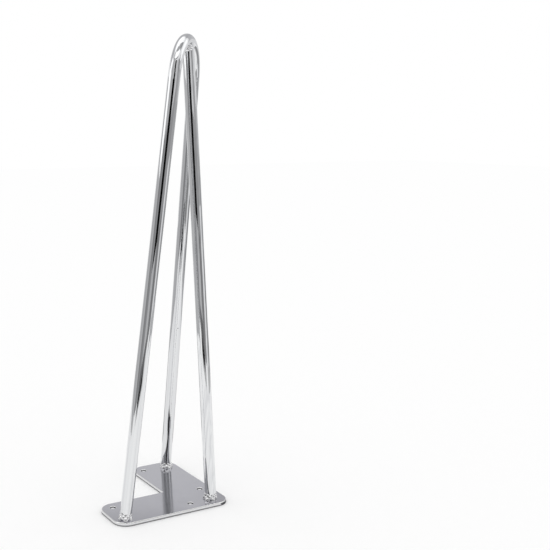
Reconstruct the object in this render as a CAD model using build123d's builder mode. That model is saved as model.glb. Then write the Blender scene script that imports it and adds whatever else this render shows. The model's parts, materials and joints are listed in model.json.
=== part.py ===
from build123d import *

import os
from math import asin, atan2, cos, hypot, sin

# Hairpin table leg, standing on its mounting plate with the foot up.
# The origin is the middle of the plate's square outline, on the face that goes against the table.
# +X and +Y run along the plate's edges, and +Z runs up to the foot.

# Driving dimensions, in millimetres
height = 400  # mounting face to the top of the foot
rod_diameter = 10  # round bar of all three rods
bend_radius = 31  # hairpin bend, on the bar's centreline
foot_offset = 25  # foot from the plate's middle, towards the L's outer corner on both axes
plate_side = 109  # outside length of both arms of the L
arm_width = 44
plate_thickness = 3
corner_radius = 12  # outer corners of the plate
notch_radius = 1  # inner corner of the L
edge_round = 0.8  # rim of the plate's upper face, rolled over as the blank is punched
hairpin_inset = 11  # ends of the hairpin from the plate's outer edges
corner_inset = 13  # end of the straight rod from the two edges of the L's outer corner
hole_diameter = 5
hole_edge = 11  # screw holes from the plate's outer edges
hole_notch = 9  # each row of screw holes from its arm's inner edge
weld_leg = 2.5  # how far a plate weld runs out from the rod
foot_weld_leg = 1.2  # how far the foot weld swells out from the straight rod
weld_height = 5  # how far a weld bead climbs the rod
weld_bulge = 0.3  # how far a plate weld's face stands out past a straight slope, at half its height

# Places that follow from them
rod_radius = rod_diameter / 2
weld_radius = rod_radius + weld_leg
plate_half = plate_side / 2
notch_side = plate_side - arm_width
notch_corner = (plate_half - arm_width, arm_width - plate_half)
plate_top = Plane.XY.offset(plate_thickness)
hole_row = plate_half - arm_width + hole_notch
hole_end = plate_half - hole_edge
hairpin_end = plate_half - hairpin_inset
corner_end = plate_half - corner_inset
foot = Vector(foot_offset, -foot_offset, height - rod_radius)
left_end = Vector(-hairpin_end, -hairpin_end, plate_thickness)
rear_end = Vector(hairpin_end, hairpin_end, plate_thickness)
right_end = Vector(corner_end, -corner_end, plate_thickness)
corner_direction = (foot - right_end).normalized()
corner_length = (foot - right_end).length
tail = rod_diameter  # spare length below the plate's top face, cut off flush

# The hairpin lies in one leaning plane through its two ends and the foot.
# In that plane both legs are tangents from an end to the bend's circle.
hairpin_plane = Plane(
    origin=(left_end + rear_end) / 2,
    x_dir=rear_end - left_end,
    z_dir=(rear_end - left_end).cross(foot - left_end),
)
half_span = (rear_end - left_end).length / 2
reach = hairpin_plane.to_local_coords(foot).Y
bend_centre = reach - bend_radius
half_angle = atan2(half_span, bend_centre) - asin(bend_radius / hypot(half_span, bend_centre))
tangent_x = bend_radius * cos(half_angle)
tangent_y = bend_centre + bend_radius * sin(half_angle)
tail_x = half_span + tail * sin(half_angle)
tail_y = -tail * cos(half_angle)

os.makedirs("parts", exist_ok=True)

# Mounting plate: a square with a square notch, rounded corners and two rows of screw holes
with BuildPart() as plate:
    with BuildSketch() as outline:
        Rectangle(plate_side, plate_side)
        with Locations((-plate_half, plate_half)):
            Rectangle(notch_side, notch_side, align=(Align.MIN, Align.MAX), mode=Mode.SUBTRACT)
        fillet(outline.vertices().sort_by_distance(notch_corner)[1:], corner_radius)
        fillet(outline.vertices().sort_by_distance(notch_corner)[0], notch_radius)
    extrude(amount=plate_thickness)
    fillet(plate.faces().sort_by(Axis.Z)[-1].edges(), edge_round)
    with Locations(plate_top):
        with Locations((-hole_end, -hole_row), (hole_end, -hole_row)):
            Hole(hole_diameter / 2)
        with Locations((hole_row, -hole_end), (hole_row, hole_end)):
            Hole(hole_diameter / 2)
plate.part.label = "mounting_plate"
export_step(plate.part, "parts/mounting_plate.step")

# Hairpin rod: two straight legs run into the bend, and both ends are cut flush on the plate
with BuildPart() as hairpin:
    with BuildLine(hairpin_plane):
        left_leg = Line((-tail_x, tail_y), (-tangent_x, tangent_y))
        bend = ThreePointArc((-tangent_x, tangent_y), (0, reach), (tangent_x, tangent_y))
        rear_leg = Line((tangent_x, tangent_y), (tail_x, tail_y))
    with BuildSketch(Plane(origin=left_leg @ 0, z_dir=left_leg % 0)):
        Circle(rod_radius)
    sweep()
    split(bisect_by=plate_top, keep=Keep.TOP)
hairpin.part.label = "hairpin_rod"
export_step(hairpin.part, "parts/hairpin_rod.step")

# Straight rod: cut flush on the plate, with its upper end hollowed to sit tight under the bend
with BuildPart() as corner_rod:
    with BuildSketch(Plane(origin=right_end - corner_direction * tail, z_dir=corner_direction)):
        Circle(rod_radius)
    extrude(amount=tail + corner_length)
    split(bisect_by=plate_top, keep=Keep.TOP)
    with BuildLine():
        add(bend)
    with BuildSketch(Plane(origin=bend @ 0, z_dir=bend % 0)):
        Circle(rod_radius)
    sweep(mode=Mode.SUBTRACT)
corner_rod.part.label = "corner_rod"
export_step(corner_rod.part, "parts/corner_rod.step")


def profile_plane(origin, direction):
    """Upright plane through a rod's axis, with its Y along the rod."""
    across = Vector(0, 0, 1).cross(direction)
    return Plane(origin=origin, x_dir=across, z_dir=across.cross(direction))


def plate_weld(rod_end, direction, rod):
    """Convex bead round a rod's lower end, resting on the plate."""
    toe = (weld_radius, 0)
    knee = (rod_radius + weld_leg / 2 + weld_bulge, weld_height / 2)
    climb = (rod_radius, weld_height)
    with BuildPart() as bead:
        with BuildSketch(profile_plane(rod_end, direction)):
            with BuildLine():
                Polyline(toe, knee, climb, (0, weld_height), (0, -tail), (weld_radius, -tail), close=True)
            make_face()
        revolve(axis=Axis(rod_end, direction))
        split(bisect_by=plate_top, keep=Keep.TOP)
        add(rod, mode=Mode.SUBTRACT)
    return bead.part


# Welds on the plate, one round the lower end of each rod
plate_welds = {
    "weld_left": plate_weld(left_end, left_leg % 0, hairpin.part),
    "weld_rear": plate_weld(rear_end, -(rear_leg % 0), hairpin.part),
    "weld_corner": plate_weld(right_end, corner_direction, corner_rod.part),
}
for weld_name, weld in plate_welds.items():
    weld.label = weld_name
    export_step(weld, f"parts/{weld_name}.step")

# Foot weld: a swelling round the straight rod's upper end that fills the corner under the bend
with BuildPart() as weld_foot:
    weld_low = -rod_radius - weld_height
    with BuildSketch(profile_plane(foot, corner_direction)):
        with BuildLine():
            belly = (rod_radius + foot_weld_leg, weld_low / 2)
            Polyline((0, weld_low), (rod_radius, weld_low), belly, (rod_radius, 0), (0, 0), close=True)
        make_face()
    revolve(axis=Axis(foot, corner_direction))
    add(corner_rod.part, mode=Mode.SUBTRACT)
    add(hairpin.part, mode=Mode.SUBTRACT)
weld_foot.part.label = "weld_foot"
export_step(weld_foot.part, "parts/weld_foot.step")
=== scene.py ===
# %% [markdown]
# # A hairpin table leg in chromed steel
#
# The leg is a small welded frame. One round bar is bent into a hairpin, a second straight bar braces
# the bend, and both are welded to an L-shaped plate that is screwed under a table. The whole thing is
# then polished and chromed. It stands here on its plate with the foot in the air, as such legs are
# shown for sale.
#
# The solids already have the right sizes. They come as a fixed frame, and every mesh made below is
# drawn over the solid that it stands for, in the same place. What the solids lack is a surface fit for
# chrome: a mirror shows every facet, so the bars get smooth meshes, the plate gets true flat faces and
# the welds get lumps.

# %% Load the frame
import json
import math
import random

import bmesh
import bpy
from mathutils import Matrix, Vector


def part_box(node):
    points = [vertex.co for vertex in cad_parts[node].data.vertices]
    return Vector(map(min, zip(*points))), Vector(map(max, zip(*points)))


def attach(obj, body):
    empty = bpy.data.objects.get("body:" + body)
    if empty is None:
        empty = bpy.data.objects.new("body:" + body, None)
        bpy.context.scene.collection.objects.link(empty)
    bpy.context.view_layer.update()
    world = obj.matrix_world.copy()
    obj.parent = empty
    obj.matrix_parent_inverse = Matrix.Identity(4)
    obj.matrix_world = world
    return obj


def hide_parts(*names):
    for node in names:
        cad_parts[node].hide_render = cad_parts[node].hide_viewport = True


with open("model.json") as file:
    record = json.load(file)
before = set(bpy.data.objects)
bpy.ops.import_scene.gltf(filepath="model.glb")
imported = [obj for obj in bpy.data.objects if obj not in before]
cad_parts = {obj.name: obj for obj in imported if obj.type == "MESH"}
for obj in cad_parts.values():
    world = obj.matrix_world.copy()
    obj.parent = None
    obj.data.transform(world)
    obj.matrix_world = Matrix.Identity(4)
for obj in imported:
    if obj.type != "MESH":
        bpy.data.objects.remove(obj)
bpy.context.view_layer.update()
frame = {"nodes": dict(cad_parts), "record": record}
print("solids:", ", ".join(sorted(frame["nodes"])))

# %% [markdown]
# ## The camera
#
# The camera comes first, because everything is judged through it. It stands a good arm's length from
# the leg, a little lower than the foot, and looks slightly down. A short telephoto lens keeps the bars
# from fanning out. The leg sits left of the picture's middle while its uprights stay true, and that is
# what a lens shift does: turning the camera instead would lean the outer bar.

# %% Camera
MM = 0.001

CAMERA_PLACE = Vector((-366.7, -689.5, 325.6)) * MM
CAMERA_PITCH = math.radians(9.24)
CAMERA_TURN = math.radians(-28.47)

bpy.ops.object.camera_add(
    location=CAMERA_PLACE,
    rotation=(math.pi / 2 - CAMERA_PITCH, 0, CAMERA_TURN),
)
camera = bpy.context.object
camera.name = "camera"
camera.data.sensor_width = 36
camera.data.lens = 60
camera.data.shift_x = 0.22
bpy.context.scene.camera = camera
bpy.context.scene.view_settings.view_transform = "Standard"
print("camera at mm:", [round(place / MM) for place in camera.location])

# %% [markdown]
# ## Sizes
#
# Overall sizes are read from the frame: the plate from its solid, the foot and the screw holes from the
# mounts. The rest are the bar's and the plate's own measures. The two ends of the hairpin stand on the
# plate's two far corners and the straight bar on the L's outer corner.

# %% Sizes and places
plate_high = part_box("mounting_plate")[1]
plate_half = plate_high.x
plate_top = plate_high.z
mounts = {mount["name"]: mount for mount in frame["record"]["mounts"]}

rod_radius = 5 * MM
bend_radius = 31 * MM
arm_width = 44 * MM
hairpin_inset = 11 * MM
corner_inset = 13 * MM

foot = Vector(mounts["foot"]["pos_m"]) - Vector((0, 0, rod_radius))
hairpin_end = plate_half - hairpin_inset
corner_end = plate_half - corner_inset
left_end = Vector((-hairpin_end, -hairpin_end, plate_top))
rear_end = Vector((hairpin_end, hairpin_end, plate_top))
right_end = Vector((corner_end, -corner_end, plate_top))
print("plate half and top in mm:", round(plate_half / MM, 2), round(plate_top / MM, 2))

# %% [markdown]
# ## The mounting plate
#
# The real plate is punched from flat steel. The press leaves square walls, rounded outer corners and,
# on the side where the punch enters, a rim that rolls over softly. It could be drawn as a curve and
# given a thickness, but working as with sheet is just as short: a square is cut along two lines, the
# notch is thrown away, and what is left is pulled up to 3 mm.
#
# An operator works on all that is selected, so a few helpers select only what is meant.

# %% Helpers for selecting
def only(piece):
    """Selects one object and makes it the active one."""
    bpy.ops.object.select_all(action="DESELECT")
    piece.select_set(True)
    bpy.context.view_layer.objects.active = piece


def edit(piece):
    """Opens a mesh in edit mode with all of it selected."""
    only(piece)
    bpy.ops.object.mode_set(mode="EDIT")
    bpy.ops.mesh.select_mode(type="VERT")
    bpy.ops.mesh.select_all(action="SELECT")


def pick(piece, kind, wanted):
    """In edit mode, selects the edges or faces for which wanted(part) is true, and returns how many."""
    bpy.ops.mesh.select_mode(type=kind)
    bpy.ops.mesh.select_all(action="DESELECT")
    mesh = bmesh.from_edit_mesh(piece.data)
    parts = mesh.edges if kind == "EDGE" else mesh.faces
    chosen = [part for part in parts if wanted(part)]
    for part in chosen:
        part.select_set(True)
    bmesh.update_edit_mesh(piece.data)
    return len(chosen)


def done():
    """Leaves edit mode."""
    bpy.ops.object.mode_set(mode="OBJECT")


# %% Plate: a sheet with its notch cut out
notch_x = plate_half - arm_width
notch_y = -notch_x

bpy.ops.object.select_all(action="DESELECT")
bpy.ops.mesh.primitive_plane_add(size=2 * plate_half)
plate = bpy.context.object
plate.name = "plate_chromed"
edit(plate)
bpy.ops.mesh.bisect(plane_co=(notch_x, 0, 0), plane_no=(1, 0, 0))
bpy.ops.mesh.select_all(action="SELECT")
bpy.ops.mesh.bisect(plane_co=(0, notch_y, 0), plane_no=(0, 1, 0))


def in_notch(face):
    """True for a face that lies in the L's open corner."""
    centre = face.calc_center_median()
    return centre.x < notch_x and centre.y > notch_y


pick(plate, "FACE", in_notch)
bpy.ops.mesh.delete(type="FACE")
bpy.ops.mesh.select_all(action="SELECT")
bpy.ops.mesh.extrude_region_move(TRANSFORM_OT_translate={"value": (0, 0, plate_top)})
bpy.ops.mesh.select_all(action="SELECT")
bpy.ops.mesh.normals_make_consistent(inside=False)
bpy.ops.mesh.dissolve_limited(angle_limit=math.radians(1))
done()
print("plate blank:", len(plate.data.vertices), "corners,", len(plate.data.polygons), "faces")

# %% [markdown]
# The upright edges are rounded first, because the rim then follows them in one go. The notch's inner
# corner is nearly sharp, as a punch leaves it. Only the upper rim is rolled over: the other side lies
# flat on the table.

# %% Plate: rounded corners and rolled rim
corner_radius = 12 * MM
notch_radius = 1 * MM
edge_round = 0.8 * MM
CORNER_STEPS = 20
RIM_STEPS = 6
NEAR = 0.01 * MM
WALL_TILT = 0.5


def upright(edge):
    """True for an edge that stands square to the plate's face."""
    return abs(edge.verts[0].co.z - edge.verts[1].co.z) > plate_top / 2


def at_notch(edge):
    """True for an edge in the L's inner corner."""
    return abs(edge.verts[0].co.x - notch_x) < NEAR and abs(edge.verts[0].co.y - notch_y) < NEAR


def on_rim(edge):
    """True for an edge between the plate's upper face and one of its walls."""
    high = all(abs(corner.co.z - plate_top) < NEAR for corner in edge.verts)
    return high and any(abs(face.normal.z) < WALL_TILT for face in edge.link_faces)


edit(plate)
outer_corners = pick(plate, "EDGE", lambda edge: upright(edge) and not at_notch(edge))
bpy.ops.mesh.bevel(offset=corner_radius, segments=CORNER_STEPS, affect="EDGES")
pick(plate, "EDGE", lambda edge: upright(edge) and at_notch(edge))
bpy.ops.mesh.bevel(offset=notch_radius, segments=RIM_STEPS, affect="EDGES")
pick(plate, "EDGE", on_rim)
bpy.ops.mesh.bevel(offset=edge_round, segments=RIM_STEPS, affect="EDGES")
done()
print("rounded corners:", outer_corners)

# %% [markdown]
# The four screw holes are punched through with cylinders. A cut leaves stray corners on the flat faces,
# which are dissolved before going on. Chrome builds up on a sharp edge, so each mouth gets a small
# rounding, which also gives it the thin bright ring that a plated hole shows.

# %% Plate: screw holes
row_x = mounts["screw_row_x"]
row_y = mounts["screw_row_y"]
hole_radius = row_x["dims"]["hole_r_mm"] * MM
half_x = row_x["dims"]["spacing_x_mm"] * MM / 2
half_y = row_y["dims"]["spacing_y_mm"] * MM / 2
mouth_round = 0.7 * MM
PUNCH_SIDES = 48
MOUTH_STEPS = 4
hole_places = [Vector(row_x["pos_m"]) + Vector((side * half_x, 0, 0)) for side in (-1, 1)]
hole_places += [Vector(row_y["pos_m"]) + Vector((0, side * half_y, 0)) for side in (-1, 1)]


def cut_away(piece, cutter):
    """Takes one object's volume out of another, and leaves the cutter as it is."""
    only(piece)
    bpy.ops.object.modifier_add(type="BOOLEAN")
    cut = piece.modifiers[-1]
    cut.operation = "DIFFERENCE"
    cut.solver = "EXACT"
    cut.object = cutter
    bpy.ops.object.modifier_apply(modifier=cut.name)


def throw_away(piece):
    """Deletes an object that was only a tool."""
    only(piece)
    bpy.ops.object.delete()


for place in hole_places:
    bpy.ops.object.select_all(action="DESELECT")
    bpy.ops.mesh.primitive_cylinder_add(
        vertices=PUNCH_SIDES, radius=hole_radius, depth=4 * plate_top, location=place
    )
    punch = bpy.context.object
    cut_away(plate, punch)
    throw_away(punch)


def on_mouth(edge):
    """True for an edge of a screw hole's rim, above or below."""
    if upright(edge):
        return False
    ends = [corner.co.to_2d() for corner in edge.verts]
    reach = hole_radius + NEAR
    return any(all((end - place.to_2d()).length < reach for end in ends) for place in hole_places)


edit(plate)
bpy.ops.mesh.dissolve_limited(angle_limit=math.radians(0.1))
mouth_edges = pick(plate, "EDGE", on_mouth)
bpy.ops.mesh.bevel(offset=mouth_round, segments=MOUTH_STEPS, affect="EDGES")
done()
print("holes:", len(hole_places), "with", mouth_edges, "mouth edges")

# %% [markdown]
# A mirror shows where its normals point. Plain smooth shading would bend the flat faces near every rim,
# so weighted normals give each corner the direction of the largest face around it: flats stay flat,
# rims stay round.

# %% Plate: flat faces that mirror as flat
SHARP = 40


def smooth(piece, angle):
    """Shades a piece smooth, but keeps edges that are sharper than an angle in degrees."""
    only(piece)
    bpy.ops.object.shade_smooth_by_angle(angle=math.radians(angle))


smooth(plate, SHARP)
bpy.ops.object.modifier_add(type="WEIGHTED_NORMAL")
plate.modifiers[-1].keep_sharp = True
bpy.ops.object.modifier_apply(modifier=plate.modifiers[-1].name)
print("plate faces:", len(plate.data.polygons))

# %% [markdown]
# ## The hairpin
#
# On the real leg this is one 10 mm bar, bent cold round a former. It lies in one leaning plane through
# its two ends and the foot, and both legs run straight into the bend, so they touch its circle as
# tangents. A curve with a round bevel could draw it, but a circle that is pulled along the first leg,
# spun round the bend and pulled down the second leg is how the bar is really made, and it puts the
# rings only where the bar turns. A few more rings in the legs, close to each end of the bend, are there
# for the next step.

# %% Hairpin: the plane and the bend
across = (rear_end - left_end).normalized()
middle = (left_end + rear_end) / 2
up = (foot - middle).normalized()
half_span = (rear_end - left_end).length / 2
bend_height = (foot - middle).length - bend_radius
bend_centre = middle + up * bend_height
lean = math.atan2(half_span, bend_height) - math.asin(bend_radius / math.hypot(half_span, bend_height))
left_tangent = bend_centre - across * bend_radius * math.cos(lean) + up * bend_radius * math.sin(lean)
left_up = (left_tangent - left_end).normalized()
rear_down = (left_up - 2 * left_up.dot(up) * up).normalized()
bend_turn = math.pi - 2 * lean
leg_length = (left_tangent - left_end).length
print("legs lean", round(math.degrees(lean), 2), "degrees, bend turns", round(math.degrees(bend_turn), 1))

# %% Hairpin: pull, spin, pull
RING = 72
BEND_STEPS = 72
EASE_STEPS = 6
spare = 2 * rod_radius
ease = 7 * MM


def ring_of_bar(name, place, direction, radius):
    """Starts a bar: a circle square to its direction, in edit mode and selected."""
    bpy.ops.object.select_all(action="DESELECT")
    turn = direction.to_track_quat("Z", "Y").to_euler()
    bpy.ops.mesh.primitive_circle_add(vertices=RING, radius=radius, location=place, rotation=turn)
    bar = bpy.context.object
    bar.name = name
    bpy.ops.object.transform_apply(location=True, rotation=True, scale=True)
    edit(bar)
    return bar


def pull(step):
    """Extrudes what is selected by a step."""
    bpy.ops.mesh.extrude_region_move(TRANSFORM_OT_translate={"value": step})


def close_bar(bar):
    """Closes a bar's two ends and turns its faces outwards."""
    bpy.ops.mesh.select_all(action="SELECT")
    bpy.ops.mesh.fill_holes(sides=0)
    bpy.ops.mesh.remove_doubles(threshold=NEAR / 10)
    bpy.ops.mesh.normals_make_consistent(inside=False)
    done()


hairpin = ring_of_bar("hairpin_chromed", left_end - left_up * spare, left_up, rod_radius)
pull(left_up * (leg_length + spare - ease))
for _ in range(EASE_STEPS):
    pull(left_up * ease / EASE_STEPS)
bpy.ops.mesh.spin(steps=BEND_STEPS, angle=bend_turn, center=bend_centre, axis=across.cross(up))
for _ in range(EASE_STEPS):
    pull(rear_down * ease / EASE_STEPS)
pull(rear_down * (leg_length + spare - ease))
close_bar(hairpin)
hairpin_top = max(corner.co.z for corner in hairpin.data.vertices)
print("hairpin faces:", len(hairpin.data.polygons), "top in mm:", round(hairpin_top / MM, 2))

# %% [markdown]
# A bar bent cold never turns from straight to round at one point, and a mirror would show such a point
# as a hard line across the bar. The turn builds up over a little more than the bar's own width. So the
# rings near both ends of the bend are moved to a line whose curvature grows evenly. The bend stays
# where it is and the upper ends of the legs move outwards by a quarter of a millimetre. For this, and
# later for the polish, each corner needs to know where it lies on its bar: two distances across the
# bar and one along it.

# %% Where a corner lies on its bar
out_of_plane = across.cross(up).normalized()
rear_tangent = left_tangent + across * 2 * bend_radius * math.cos(lean)
half_bend = bend_radius * bend_turn / 2


def on_leg(place, start, direction):
    """Distances across and along a straight run that starts at a point."""
    side = direction.cross(out_of_plane)
    offset = place - start
    return Vector((offset.dot(side), offset.dot(out_of_plane), offset.dot(direction)))


def on_hairpin(place):
    """Distances across and along the hairpin, measured from the foot."""
    offset = place - bend_centre
    turn = math.atan2(offset.dot(across), offset.dot(up))
    if turn > bend_turn / 2:
        return on_leg(place, rear_tangent, rear_down) + Vector((0, 0, half_bend))
    if turn < -bend_turn / 2:
        spot = on_leg(place, left_tangent, -left_up)
        return Vector((-spot.x, spot.y, -spot.z - half_bend))
    beyond = math.hypot(offset.dot(across), offset.dot(up)) - bend_radius
    return Vector((-beyond, offset.dot(out_of_plane), bend_radius * turn))


# %% Hairpin: easing into the bend
def inward_shift(down_leg):
    """How far the eased line lies inside the plain one, at a distance down the leg from the bend's end.

    Curvature that grows evenly over twice the ease gives a cube, and a plain circle gives a square.
    """
    if down_leg < -ease:
        return 0
    eased = max(ease - down_leg, 0) ** 3 / (12 * ease * bend_radius)
    plain = min(down_leg, 0) ** 2 / (2 * bend_radius)
    leg_outwards = ease**2 / (6 * bend_radius) * (1 - max(down_leg, 0) / leg_length)
    return eased - plain - leg_outwards


for corner in hairpin.data.vertices:
    along = on_hairpin(corner.co).z
    turn = max(-half_bend, min(half_bend, along)) / bend_radius
    inwards = -across * math.sin(turn) - up * math.cos(turn)
    corner.co += inwards * inward_shift(abs(along) - half_bend)
print("legs' upper ends moved in mm:", round(inward_shift(ease) / MM, 2))

# %% [markdown]
# ## The straight bar
#
# The second bar runs from the L's outer corner up to the middle of the bend. It is pulled out of a
# circle like the first. Both bars keep their spare ends for now, because they are also the tools that
# give the welds their seats.

# %% Straight bar
corner_up = (foot - right_end).normalized()
corner_length = (foot - right_end).length
cope_length = 16 * MM

corner_bar = ring_of_bar("corner_rod_chromed", right_end - corner_up * spare, corner_up, rod_radius)
pull(corner_up * (corner_length + spare - cope_length))
pull(corner_up * cope_length)
close_bar(corner_bar)
print("straight bar faces:", len(corner_bar.data.polygons))

# %% [markdown]
# ## The welds on the plate
#
# Each bar is welded to the plate all round. The welder lays down one drop of molten steel after
# another, and under the chrome every drop stays as a small round lump. A ring with noise on it looks
# like clay, so the bead is built as it was laid: three staggered rows of drops are melted into one skin
# by a fine remesh and smoothed a little. More metal runs out on the side that the welder works from, so
# the lower rows spread further there, and the bead's face leans back by half a right angle.

# %% Weld bead: three rows of drops
DROPS = 8
SKIN = 0.22 * MM
drop_size = 1.8 * MM
swelling = 0.2
heavy_focus = 3
stray_step = 0.25
stray_mm = 0.3
outward_mm = (-0.2, 0.1)
flatness = (0.85, 1.15)
chance = random.Random(5)

# Each row: height up the bar, depth inside the bar's surface, and extra reach on the heavy side.
bead_rows = (
    (0.1 * MM, 0.9 * MM, 2.3 * MM),
    (1.9 * MM, 1.1 * MM, 1.2 * MM),
    (3.9 * MM, 1.3 * MM, 0.2 * MM),
)

bpy.ops.object.select_all(action="DESELECT")
bpy.ops.mesh.primitive_uv_sphere_add(segments=20, ring_count=10, radius=drop_size)
weld_drop = bpy.context.object
weld_drop.name = "weld_drop"


def lay_drop(place, size):
    """Copies the drop, with its own mesh, to a place and scales it along X, Y and Z."""
    drop = weld_drop.copy()
    drop.data = weld_drop.data.copy()
    drop.matrix_world = Matrix.Translation(place) @ Matrix.Diagonal((*size, 1))
    bpy.context.collection.objects.link(drop)
    return drop


def melt(name, drops, smoothing):
    """Joins drops into one lumpy skin, smoothed some number of times."""
    only(drops[0])
    for drop in drops:
        drop.select_set(True)
    bpy.ops.object.join()
    bead = bpy.context.object
    bead.name = name
    bpy.ops.object.transform_apply(location=True, rotation=True, scale=True)
    bpy.ops.object.modifier_add(type="REMESH")
    bead.modifiers[-1].mode = "VOXEL"
    bead.modifiers[-1].voxel_size = SKIN
    bpy.ops.object.modifier_apply(modifier=bead.modifiers[-1].name)
    bpy.ops.object.modifier_add(type="SMOOTH")
    bead.modifiers[-1].iterations = smoothing
    bpy.ops.object.modifier_apply(modifier=bead.modifiers[-1].name)
    return bead


drops = []
for row, (height, inwards, heavier) in enumerate(bead_rows):
    for step in range(DROPS):
        bearing = math.tau * (step + row / 2 + chance.uniform(-stray_step, stray_step)) / DROPS
        heavy_share = ((1 + math.cos(bearing)) / 2) ** heavy_focus
        spread = rod_radius - inwards + heavier * heavy_share + chance.uniform(*outward_mm) * MM
        level = height + chance.uniform(-stray_mm, stray_mm) * MM
        place = Vector((spread * math.cos(bearing), spread * math.sin(bearing), level))
        size = 1 + swelling * heavy_share
        drops.append(lay_drop(place, (size, size, size * chance.uniform(*flatness))))
bead = melt("weld_bead", drops, smoothing=9)
print("bead faces:", len(bead.data.polygons))

# %% [markdown]
# That one bead is copied to the three bar ends. Each copy stands along its bar with the heavy side to
# the front, turned a little further or less so that no two look alike. It is cut off at the plate and
# its seat on the bar is cut with the bar itself.

# %% Weld bead: one at the end of each bar
WELD_SHARP = 50
front = Vector((CAMERA_PLACE.x, CAMERA_PLACE.y, 0)).normalized()
welds = {}

# Each end: its place, the way up its bar, the bar, and the turn of the heavy side in degrees.
bar_ends = {
    "weld_left": (left_end, left_up, hairpin, 0),
    "weld_rear": (rear_end, -rear_down, hairpin, 28),
    "weld_corner": (right_end, corner_up, corner_bar, -32),
}


def stand(place, direction, turn):
    """A matrix that stands a bead at a place, along a direction, turned by some degrees from the front."""
    side = direction.cross(front).normalized()
    leaning = Matrix((side.cross(direction), side, direction)).transposed().to_4x4()
    return Matrix.Translation(place) @ leaning @ Matrix.Rotation(math.radians(turn), 4, "Z")


def cut_flush(piece):
    """Cuts a piece at the plate's upper face, throws away what is below and closes the cut."""
    edit(piece)
    bpy.ops.mesh.bisect(
        plane_co=(0, 0, plate_top), plane_no=(0, 0, 1), use_fill=True, clear_inner=True,
        threshold=NEAR / 10,
    )
    done()


for node, (end, direction, bar, turn) in bar_ends.items():
    weld = bead.copy()
    weld.data = bead.data.copy()
    weld.name = node + "_bead"
    bpy.context.collection.objects.link(weld)
    weld.matrix_world = stand(end, direction, turn)
    only(weld)
    bpy.ops.object.transform_apply(location=True, rotation=True, scale=True)
    cut_flush(weld)
    cut_away(weld, bar)
    smooth(weld, WELD_SHARP)
    welds[node] = weld
    print(weld.name, "faces:", len(weld.data.polygons))
throw_away(bead)

# %% [markdown]
# ## The weld under the foot
#
# Here the drops follow the line where the straight bar meets the round underside of the bend. That line
# dips along the bend and climbs at its sides, so its depth below the bend's middle is worked out from
# the two radii for every bearing. At the sides two bars of one size run into each other smoothly, with
# no corner to fill. So the weld swells in the two corners along the bend, in front and behind, and the
# sides are left bare.

# %% Foot weld
FOOT_DROPS = 12
sideways = corner_up.cross(across)
drop_inset = 0.3 * MM
uneven_size = (0.85, 1.05)
open_corner = 0.45

# Each row: least depth below the bend's middle, depth below the seat, and size of its drops.
foot_rows = ((3.4 * MM, 1.3 * MM, 0.95), (7.2 * MM, 2.8 * MM, 0.88))


def seat_depth(bearing):
    """How far below the bend's middle line the two bars meet, at a bearing round the straight bar."""
    along = rod_radius * math.cos(bearing)
    return abs(along) + along * along / (2 * bend_radius)


drops = []
for row, (shallow, deeper, share) in enumerate(foot_rows):
    for step in range(FOOT_DROPS):
        bearing = math.tau * (step + row / 2 + chance.uniform(-stray_step, stray_step)) / FOOT_DROPS
        stray = chance.uniform(-stray_mm, stray_mm) * MM
        depth = max(seat_depth(bearing) + deeper, shallow) + stray
        outward = across * math.cos(bearing) + sideways * math.sin(bearing)
        size = share * chance.uniform(*uneven_size)
        place = foot - corner_up * depth + outward * (rod_radius - drop_inset)
        if math.cos(bearing) ** 2 > open_corner:
            drops.append(lay_drop(place, (size, size, size)))
foot_weld = melt("weld_foot_bead", drops, smoothing=4)
cut_away(foot_weld, corner_bar)
cut_away(foot_weld, hairpin)
smooth(foot_weld, WELD_SHARP)
throw_away(weld_drop)
welds["weld_foot"] = foot_weld
print("foot weld faces:", len(foot_weld.data.polygons))

# %% [markdown]
# ## Trimming the bars
#
# Now the spare ends can go. The straight bar's top is ground hollow so that it sits tight under the
# round bar, and the hairpin itself is the tool for that. All three lower ends are cut flush on the
# plate.

# %% Bars: seat and flush ends
cut_away(corner_bar, hairpin)
for bar in (hairpin, corner_bar):
    cut_flush(bar)
    smooth(bar, SHARP)
    print(bar.name, "faces:", len(bar.data.polygons))

# %% [markdown]
# ## Chrome
#
# Chromium plate is a hard, slightly blue mirror. It has no colour or pattern of its own to speak of:
# what the eye reads is the room in it, and how cleanly the surface under the plating was polished. So
# each finish starts as a metal with low roughness, and its character is in small unevenness: slow waves
# that make reflections wander, a faint haze, a few pits.
#
# One function turns the colours from sRGB to linear light, and one adds a node with its settings and
# links.

# %% Helpers for materials
def linear(colour):
    """Turns an sRGB hex colour into linear RGBA."""
    channels = [int(colour[start : start + 2], 16) / 255 for start in (1, 3, 5)]
    light = [c / 12.92 if c <= 0.04045 else ((c + 0.055) / 1.055) ** 2.4 for c in channels]
    return (*light, 1)


def add(material, kind, settings=(), inputs=()):
    """Adds a node. Settings are its own choices, and each input takes a value or another node's output."""
    node = material.node_tree.nodes.new(kind)
    for name, value in dict(settings).items():
        setattr(node, name, value)
    for name, value in dict(inputs).items():
        if isinstance(value, bpy.types.NodeSocket):
            material.node_tree.links.new(value, node.inputs[name])
        else:
            node.inputs[name].default_value = value
    return node


def new_material(name):
    """A material with an empty node tree."""
    material = bpy.data.materials.new(name)
    material.use_nodes = True
    material.node_tree.nodes.clear()
    return material


# A Mix node has sockets for every kind of data, and these are the ones for colours.
MIX_SHARE = 0
MIX_FIRST = 6
MIX_SECOND = 7
MIX_RESULT = 2
# Nearly all of a noise texture's values lie between these two.
NOISE_LOW = 0.3
NOISE_HIGH = 0.7
print("helpers for materials ready, white is", linear("#FFFFFF"))

# %% [markdown]
# The bars are drawn steel, ground and polished before plating. Polishing leaves very fine lines along
# the bar, and they have to follow it round the bend. So every corner of the mesh stores where it lies
# on its bar.

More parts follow.
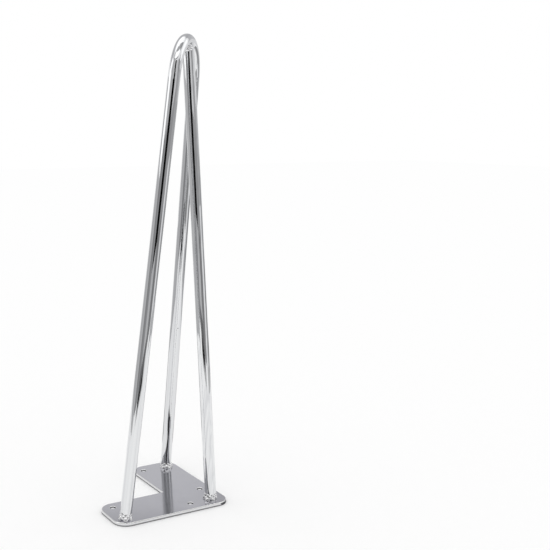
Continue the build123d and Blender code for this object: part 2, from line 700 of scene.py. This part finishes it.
# %% Corners that know their place on the bar
def on_corner_bar(place):
    """Distances across and along the straight bar."""
    return on_leg(place, right_end, corner_up)


def mark_along(bar, where):
    """Stores for each corner of a bar where it lies on it."""
    marks = bar.data.attributes.new("on_bar", "FLOAT_VECTOR", "POINT")
    for corner, mark in zip(bar.data.vertices, marks.data):
        mark.vector = where(corner.co)
    print(bar.name, "marked, length in mm:", round(max(mark.vector.z for mark in marks.data) / MM, 1))


mark_along(hairpin, on_hairpin)
mark_along(corner_bar, on_corner_bar)

# %% [markdown]
# Bending leaves its own traces: the former presses short ripples into the bar. They are strongest at
# the bend's two ends, and die out a little way down the legs, at the extra rings. Each corner of the
# hairpin stores how much of that it has.

# %% How far each corner was bent
share_in_bend = 0.3
bent = hairpin.data.attributes.new("bent", "FLOAT", "POINT")
for along, share in zip(hairpin.data.attributes["on_bar"].data, bent.data):
    down_leg = abs(along.vector.z) - half_bend
    least = share_in_bend if down_leg < 0 else 0
    share.value = max(least, 1 - abs(down_leg) / ease)
print("bent corners:", sum(share.value > 0 for share in bent.data))

# %% [markdown]
# Five things then make the bar's chrome: those fine lines, some of them painted darker than the rest
# as a painted reflection of what fine scratches mirror, slow waves from drawing that make a straight
# reflection shiver, the ripples of the bend, a faint haze in patches, and a very few pits in the steel
# that show through the plating as dark pin pricks.

# %% Chromed bar
def chromed_bar():
    """Bright chrome over drawn steel bar: a clean mirror with fine lines, slow waves and a rare pit."""
    # Polishing lines are a tenth of this width, which is too fine to show, so they are drawn coarser.
    line_width = 1.5 * MM
    line_length = 400 * MM
    line_depth = 0.012 * MM
    # Over this span of the line noise the chrome is painted darker, as a painted reflection.
    streak_from = 0.4
    streak_to = 0.65
    wave_length = 18 * MM
    wave_depth = 0.05 * MM
    ripple_length = 7 * MM
    ripple_depth = 0.6 * MM
    noise_middle = 0.5
    haze_patch = 9 * MM
    pit_spacing = 34 * MM
    pit = 0.374 * MM / pit_spacing
    pit_rim = 1.4
    polished = 0.03
    hazy = 0.07
    bar = new_material("bright_chrome_on_drawn_bar")
    on_bar = add(bar, "ShaderNodeAttribute", {"attribute_name": "on_bar"}).outputs["Vector"]
    stretched = add(bar, "ShaderNodeVectorMath", {"operation": "MULTIPLY"}, {
        0: on_bar, 1: (1 / line_width, 1 / line_width, 1 / line_length),
    })
    lines = add(bar, "ShaderNodeTexNoise", {}, {
        "Vector": stretched.outputs["Vector"], "Scale": 1, "Detail": 2,
    })
    waves = add(bar, "ShaderNodeTexNoise", {}, {
        "Vector": on_bar, "Scale": 1 / wave_length, "Detail": 1,
    })
    haze = add(bar, "ShaderNodeTexNoise", {}, {
        "Vector": on_bar, "Scale": 1 / haze_patch, "Detail": 4,
    })
    ripples = add(bar, "ShaderNodeTexNoise", {}, {
        "Vector": on_bar, "Scale": 1 / ripple_length, "Detail": 1,
    })
    bent = add(bar, "ShaderNodeAttribute", {"attribute_name": "bent"}).outputs["Fac"]
    swing = add(bar, "ShaderNodeMath", {"operation": "SUBTRACT"}, {
        0: ripples.outputs["Fac"], 1: noise_middle,
    })
    bend_ripples = add(bar, "ShaderNodeMath", {"operation": "MULTIPLY"}, {
        0: swing.outputs["Value"], 1: bent,
    })
    cells = add(bar, "ShaderNodeTexVoronoi", {}, {"Vector": on_bar, "Scale": 1 / pit_spacing})
    pits = add(bar, "ShaderNodeMapRange", {}, {
        "Value": cells.outputs["Distance"], "From Min": pit, "From Max": pit_rim * pit,
        "To Min": 1, "To Max": 0,
    })
    gloss = add(bar, "ShaderNodeMapRange", {}, {
        "Value": haze.outputs["Fac"], "From Min": NOISE_LOW, "From Max": NOISE_HIGH,
        "To Min": polished, "To Max": hazy,
    })
    painted_reflection_streaks = add(bar, "ShaderNodeMapRange", {}, {
        "Value": lines.outputs["Fac"], "From Min": streak_from, "From Max": streak_to,
        "To Min": 0, "To Max": 1,
    })
    wavy = add(bar, "ShaderNodeBump", {}, {
        "Height": waves.outputs["Fac"], "Distance": wave_depth, "Strength": 1,
    })
    rippled = add(bar, "ShaderNodeBump", {}, {
        "Height": bend_ripples.outputs["Value"], "Distance": ripple_depth, "Strength": 1,
        "Normal": wavy.outputs["Normal"],
    })
    lined = add(bar, "ShaderNodeBump", {}, {
        "Height": lines.outputs["Fac"], "Distance": line_depth, "Strength": 1,
        "Normal": rippled.outputs["Normal"],
    })
    # Some polishing lines are painted darker: a painted reflection of what fine scratches mirror.
    chrome = add(bar, "ShaderNodeMix", {"data_type": "RGBA"}, {
        MIX_SHARE: painted_reflection_streaks.outputs["Result"],
        MIX_FIRST: linear("#E9EAEB"), MIX_SECOND: linear("#D8D9DB"),
    })
    colour = add(bar, "ShaderNodeMix", {"data_type": "RGBA"}, {
        MIX_SHARE: pits.outputs["Result"],
        MIX_FIRST: chrome.outputs[MIX_RESULT], MIX_SECOND: linear("#3A3B3E"),
    })
    shader = add(bar, "ShaderNodeBsdfPrincipled", {}, {
        "Base Color": colour.outputs[MIX_RESULT], "Metallic": 1, "Roughness": gloss.outputs["Result"],
        "Normal": lined.outputs["Normal"],
    })
    add(bar, "ShaderNodeOutputMaterial", {}, {"Surface": shader.outputs["BSDF"]})
    return bar


bar_chrome = chromed_bar()
print("material:", bar_chrome.name)

# %% [markdown]
# The plate is rolled sheet and gets less polish than the bars. Its mirror is a touch softer, darker and
# bluer, with the faint grain of the rolling under the plating. Its wall tells how it was punched: the
# rolled rim on top is painted nearly white as a painted highlight, below it comes a plain band where the
# punch slid past, and the lowest third is torn steel that the plating leaves rough, painted dark as
# painted shade along the plate's foot. The screw holes are painted greyer, as painted shade inside
# them. Each corner of the plate stores which of these zones it lies in, as a share of the thickness.

# %% Zones of the plate's edge
# Inside the screw holes the plate takes one grey from its tones, as painted shade.
hole_zone = 0.35
bore_reach = hole_radius + mouth_round / 10


def edge_zone(place):
    """Share of the plate's thickness at a corner, or the holes' own zone inside a screw hole."""
    to_hole = min((place.to_2d() - hole.to_2d()).length for hole in hole_places)
    return hole_zone if to_hole < bore_reach else place.z / plate_top


zones = plate.data.attributes.new("edge_zone", "FLOAT", "POINT")
for corner, zone in zip(plate.data.vertices, zones.data):
    zone.value = edge_zone(corner.co)
print("corners with a zone:", len(zones.data))

# %% Chromed plate
def chromed_plate():
    """Satin, bluish chrome over punched sheet: painted highlight on the rim, painted shade on the torn edge
    and in holes.
    """
    # The grain of rolled sheet is finer than this, too fine to show, so it is drawn coarser.
    grain = 0.6 * MM
    grain_depth = 0.0006 * MM
    haze_patch = 14 * MM
    satin = 0.08
    hazy = 0.12
    torn_below = 0.25
    torn_roughness = 0.3
    # Each tone: the share of the thickness at which it lies, and its colour. The dark low tones and the
    # holes' grey are painted shade, and the near-white rim is a painted highlight.
    tones_and_painted_light = (
        (0, "#8A8A8C"), (0.3, "#9C9C9E"), (0.42, "#E2E2E4"), (0.72, "#E8E8EA"),
        (0.8, "#FAFAFA"), (0.985, "#FAFAFA"), (1, "#C3C3C8"),
    )
    punched = new_material("satin_chrome_on_punched_sheet")
    place = add(punched, "ShaderNodeTexCoord").outputs["Object"]
    haze = add(punched, "ShaderNodeTexNoise", {}, {
        "Vector": place, "Scale": 1 / haze_patch, "Detail": 5,
    })
    rolling = add(punched, "ShaderNodeTexNoise", {}, {
        "Vector": place, "Scale": 1 / grain, "Detail": 3,
    })
    zone = add(punched, "ShaderNodeAttribute", {"attribute_name": "edge_zone"}).outputs["Fac"]
    colour = add(punched, "ShaderNodeValToRGB", {}, {"Fac": zone})
    stops = colour.color_ramp.elements
    while len(stops) < len(tones_and_painted_light):
        stops.new(1)
    for stop, (reach, shade) in zip(stops, tones_and_painted_light):
        stop.position = reach
        stop.color = linear(shade)
    torn = add(punched, "ShaderNodeMapRange", {}, {
        "Value": zone, "From Min": torn_below, "From Max": hole_zone,
        "To Min": torn_roughness, "To Max": 0,
    })
    gloss = add(punched, "ShaderNodeMapRange", {}, {
        "Value": haze.outputs["Fac"], "From Min": NOISE_LOW, "From Max": NOISE_HIGH,
        "To Min": satin, "To Max": hazy,
    })
    rough = add(punched, "ShaderNodeMath", {"operation": "ADD"}, {
        0: gloss.outputs["Result"], 1: torn.outputs["Result"],
    })
    bump = add(punched, "ShaderNodeBump", {}, {
        "Height": rolling.outputs["Fac"], "Distance": grain_depth, "Strength": 1,
    })
    shader = add(punched, "ShaderNodeBsdfPrincipled", {}, {
        "Base Color": colour.outputs["Color"], "Metallic": 1, "Roughness": rough.outputs["Value"],
        "Normal": bump.outputs["Normal"],
    })
    add(punched, "ShaderNodeOutputMaterial", {}, {"Surface": shader.outputs["BSDF"]})
    return punched


plate_chrome = chromed_plate()
print("material:", plate_chrome.name)

# %% [markdown]
# Nobody polishes inside a weld. The lumps are plated as they froze, so the chrome is bright but rough
# in the hollows, with small craters where gas escaped, drawn only as dark spots of painted shade.

# %% Chromed weld
def chromed_weld():
    """Chrome over raw weld metal: bright lumps, fine ripples, and dark spots of painted shade for craters.
    """
    ripple = 2.4 * MM
    ripple_depth = 0.1 * MM
    crater_spacing = 5 * MM
    crater = 0.75 * MM / crater_spacing
    crater_rim = 1.6
    bright = 0.03
    rough = 0.09
    weld = new_material("chrome_on_raw_weld")
    place = add(weld, "ShaderNodeTexCoord").outputs["Object"]
    ripples = add(weld, "ShaderNodeTexNoise", {}, {"Vector": place, "Scale": 1 / ripple, "Detail": 1})
    cells = add(weld, "ShaderNodeTexVoronoi", {}, {"Vector": place, "Scale": 1 / crater_spacing})
    # Dark spots where the craters are: painted shade of the gas pores, with no hollow modelled.
    painted_crater_shade = add(weld, "ShaderNodeMapRange", {}, {
        "Value": cells.outputs["Distance"], "From Min": crater, "From Max": crater_rim * crater,
        "To Min": 1, "To Max": 0,
    })
    gloss = add(weld, "ShaderNodeMapRange", {}, {
        "Value": ripples.outputs["Fac"], "From Min": NOISE_LOW, "From Max": NOISE_HIGH,
        "To Min": bright, "To Max": rough,
    })
    bump = add(weld, "ShaderNodeBump", {}, {
        "Height": ripples.outputs["Fac"], "Distance": ripple_depth, "Strength": 1,
    })
    colour = add(weld, "ShaderNodeMix", {"data_type": "RGBA"}, {
        MIX_SHARE: painted_crater_shade.outputs["Result"],
        MIX_FIRST: linear("#F2F2F3"), MIX_SECOND: linear("#2C2C2E"),
    })
    shader = add(weld, "ShaderNodeBsdfPrincipled", {}, {
        "Base Color": colour.outputs[MIX_RESULT], "Metallic": 1, "Roughness": gloss.outputs["Result"],
        "Normal": bump.outputs["Normal"],
    })
    add(weld, "ShaderNodeOutputMaterial", {}, {"Surface": shader.outputs["BSDF"]})
    return weld


weld_chrome = chromed_weld()
print("material:", weld_chrome.name)

# %% [markdown]
# ## Putting the pieces on the frame
#
# Every piece gets its finish and hangs from the root body, and the solid that it stands for is
# hidden.

# %% Pieces on the frame
def dress(piece, node, material):
    """Gives a piece its finish and lets it stand for a solid of the frame."""
    piece.data.materials.clear()
    piece.data.materials.append(material)
    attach(piece, "root")
    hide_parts(node)


dress(plate, "mounting_plate", plate_chrome)
dress(hairpin, "hairpin_rod", bar_chrome)
dress(corner_bar, "corner_rod", bar_chrome)
for node, weld in welds.items():
    dress(weld, node, weld_chrome)
print("pieces:", ", ".join(piece.name for piece in (plate, hairpin, corner_bar, *welds.values())))

# %% [markdown]
# ## The studio
#
# Chrome is photographed by choosing what it mirrors. The room is white all round and lights the leg
# softly from everywhere. Grey and dark cards stand outside the picture: a grey floor beyond the white
# table, grey walls at the sides and behind, and a dark place where the camera is, which draws the black
# line down the bars. The cards show only in reflections, so the white floor keeps nothing but the leg's
# own soft shadow.

# %% White room and floor
world = bpy.data.worlds.new("white_room")
world.use_nodes = True
bpy.context.scene.world = world
sky = world.node_tree.nodes["Background"]
sky.inputs["Color"].default_value = linear("#FFFFFF")
sky.inputs["Strength"].default_value = 1

floor_size = 12
floor_level = -0.1 * MM
bpy.ops.object.select_all(action="DESELECT")
bpy.ops.mesh.primitive_plane_add(size=floor_size, location=(0, 0, floor_level))
floor = bpy.context.object
floor.name = "floor"
paper = new_material("white_paper")
shader = add(paper, "ShaderNodeBsdfDiffuse", {}, {"Color": linear("#FEFEFE")})
add(paper, "ShaderNodeOutputMaterial", {}, {"Surface": shader.outputs["BSDF"]})
floor.data.materials.append(paper)
print("floor:", floor.name)

# %% [markdown]
# A card is a part of a ring round the leg. Upright ones are cut from a cylinder, and flat ones, on the
# floor or overhead, from a ring pulled out of a circle. Each is given by two bearings in degrees,
# counted from +Y towards +X and on past 360 where it crosses +Y, and by its distance and heights in
# metres. The greys and edges were set by comparing the stripes on the bars with those in the photo.

# %% Cards that only the chrome sees
FULL_TURN = 360
CARD_STEPS = 360


def only_in_reflections(card, grey, strength):
    """Gives a card an even grey and hides it from everything but reflections."""
    paint = new_material(card.name)
    light = add(paint, "ShaderNodeEmission", {}, {"Color": linear(grey), "Strength": strength})
    add(paint, "ShaderNodeOutputMaterial", {}, {"Surface": light.outputs["Emission"]})
    card.data.materials.append(paint)
    card.visible_camera = False
    card.visible_diffuse = False
    card.visible_shadow = False


def keep_sector(card, bearings):
    """Cuts a round card down to the part between two bearings, in degrees from +Y towards +X."""
    start, stop = bearings

    def outside(face):
        """True for a face beyond the two bearings."""
        centre = face.calc_center_median()
        return (math.degrees(math.atan2(centre.x, centre.y)) - start) % FULL_TURN > stop - start

    edit(card)
    pick(card, "FACE", outside)
    bpy.ops.mesh.delete(type="FACE")
    done()


def wall(name, distance, bearings, low, high, grey, strength=1):
    """An upright curved card round the leg."""
    bpy.ops.object.select_all(action="DESELECT")
    bpy.ops.mesh.primitive_cylinder_add(
        vertices=CARD_STEPS, radius=distance, depth=high - low, end_fill_type="NOTHING",
        location=(0, 0, (low + high) / 2),
    )
    card = bpy.context.object
    card.name = name
    bpy.ops.object.transform_apply(location=True, rotation=True, scale=True)
    keep_sector(card, bearings)
    only_in_reflections(card, grey, strength)


def sheet(name, height, near, far, bearings, grey, strength=1, centre=(0, 0)):
    """A flat card at some height, on the floor or overhead, round the leg or another centre."""
    bpy.ops.object.select_all(action="DESELECT")
    bpy.ops.mesh.primitive_circle_add(vertices=CARD_STEPS, radius=near, location=(*centre, height))
    card = bpy.context.object
    card.name = name
    edit(card)
    bpy.ops.mesh.extrude_region()
    bpy.ops.transform.resize(value=(far / near, far / near, 1))
    done()
    keep_sector(card, bearings)
    only_in_reflections(card, grey, strength)


# %% The room in the chrome
back_wall = 3.0
before_back = 2.98
side_wall = 0.70
beyond_side = 0.72
on_side = 0.695
before_side = 0.69
behind_camera = 1.2
ceiling = 1.4
on_floor = 1 * MM
on_cards = 2 * MM

wall("back_wall_high", back_wall, (305, 435), 1.36, 3.9, "#C0C0C2")
wall("back_wall_lit", back_wall, (350, 435), 0.85, 1.36, "#E2E2E4")
wall("back_wall_right", before_back, (393, 435), 0.85, 1.36, "#C8C8CA")
wall("back_wall_low", back_wall, (340, 440), 0.0, 0.85, "#E1E1E2")
wall("left_back_wall", beyond_side, (309, 340), 0.0, 0.5, "#C0C0C1")
wall("left_wall", side_wall, (268, 309), 0.0, 0.37, "#C2C2C3")
wall("left_softbox", side_wall, (268, 305), 0.39, 0.95, "#FFFFFF", strength=1.35)
wall("left_curtain", side_wall, (240, 268), 0.0, 0.43, "#8E8E8F")
wall("left_curtain_top", side_wall, (222, 266), 0.43, 1.12, "#BABABB")
wall("front_left_wall", side_wall, (222, 240), 0.0, 0.43, "#98989A")
wall("dark_camera", before_side, (189, 224), 0.197, 0.50, "#0B0B0B")
wall("dark_above_camera", behind_camera, (193, 219), 0.57, 1.40, "#1A1A1B")
wall("front_wall", side_wall, (186, 222), 0.0, 0.20, "#C2C2C3")
wall("front_skirting", before_side, (184, 228), 0.0, 0.05, "#6C6C6D")
wall("front_right_low", side_wall, (158, 189), 0.0, 0.20, "#858586")
wall("front_right_middle", side_wall, (158, 189), 0.20, 0.38, "#A1A1A2")
wall("front_right_top", side_wall, (155, 187), 0.38, 0.85, "#D4D4D5")
wall("right_curtain", side_wall, (142, 158), 0.0, 0.75, "#A1A1A2")
wall("right_curtain_top", before_side, (134, 158), 0.45, 0.75, "#989899")
wall("right_wall_pale", on_side, (118, 146), 0.0, 0.25, "#EEEEEF")
wall("right_wall_grey", side_wall, (112, 142), 0.25, 0.45, "#B0B0B1")
wall("right_wall_grey_top", side_wall, (118, 142), 0.45, 0.57, "#CACACB")
wall("right_wall_low", side_wall, (75, 118), 0.0, 0.32, "#A8A8A9")
wall("right_skirting", before_side, (73, 110), 0.0, 0.16, "#979798")
wall("right_wall_band", side_wall, (82, 112), 0.32, 0.40, "#C5C5C6")
wall("right_wall_pale_top", side_wall, (82, 118), 0.40, 0.57, "#EAEAEB")
wall("right_softbox", side_wall, (85, 132), 0.57, 1.0, "#FFFFFF", strength=1.25)
sheet("floor_behind", on_floor, 0.50, 0.72, (262, 500), "#BEBEBF")
sheet("floor_far_behind", on_floor, 0.72, 2.60, (325, 372), "#D9D9DA")
sheet("floor_in_front", on_floor, 0.48, 0.72, (172, 225), "#BEBEBF")
sheet("floor_far_side", on_floor, 0.13, 0.50, (352, 426), "#A9A9AA")
# A near-black patch on the floor in front of the camera, seen only in the chrome, low in the bars.
sheet("dark_floor_before_camera", on_cards, 0.55, 0.70, (184, 226), "#0E0E0E")
sheet("ceiling_lamp_behind", ceiling, 0.05, 0.70, (275, 465), "#FFFFFF", strength=1.35)
sheet("ceiling_in_front", ceiling, 0.14, 0.47, (105, 275), "#B4B4B5")
sheet("ceiling_right", ceiling, 0.47, 0.82, (100, 155), "#A6A6A7")
sheet("ceiling_lamp_in_front", ceiling, 0.47, 0.90, (160, 240), "#FFFFFF", strength=1.4)
sheet("lamp_frame_front", ceiling, 0.92, 1.04, (176, 284), "#7C7C7E")
sheet("lamp_frame_side", ceiling, 0.47, 0.92, (272, 284), "#7C7C7E")

# A dark strip round the plate's right corner, seen only in the chrome, is painted shadow: the corner's wall
# mirrors it as a dark line at its foot.
under_plate = -0.05 * MM
shadow_strip = 7 * MM
corner_centre = plate_half - corner_radius
sheet(
    "painted_shadow_by_the_corner", under_plate, corner_radius, corner_radius + shadow_strip, (60, 165), "#6A6A6C",
    centre=(corner_centre, -corner_centre),
)

# %% [markdown]
# The paper under each screw hole is lit through the hole, most of all in the middle. That light is what
# makes the middle of a hole look pale from the camera, so each hole gets a small pale card of its own.

# %% Paper under the holes
spot_share = 0.72
spot_light = 1.5

for number, place in enumerate(hole_places):
    bpy.ops.object.select_all(action="DESELECT")
    under_hole = (place.x, place.y, under_plate)
    bpy.ops.mesh.primitive_circle_add(
        radius=spot_share * hole_radius, fill_type="NGON", location=under_hole
    )
    paper_spot = bpy.context.object
    paper_spot.name = f"paper_under_hole_{number}"
    only_in_reflections(paper_spot, "#F0F0F0", spot_light)
print("paper spots:", len(hole_places))
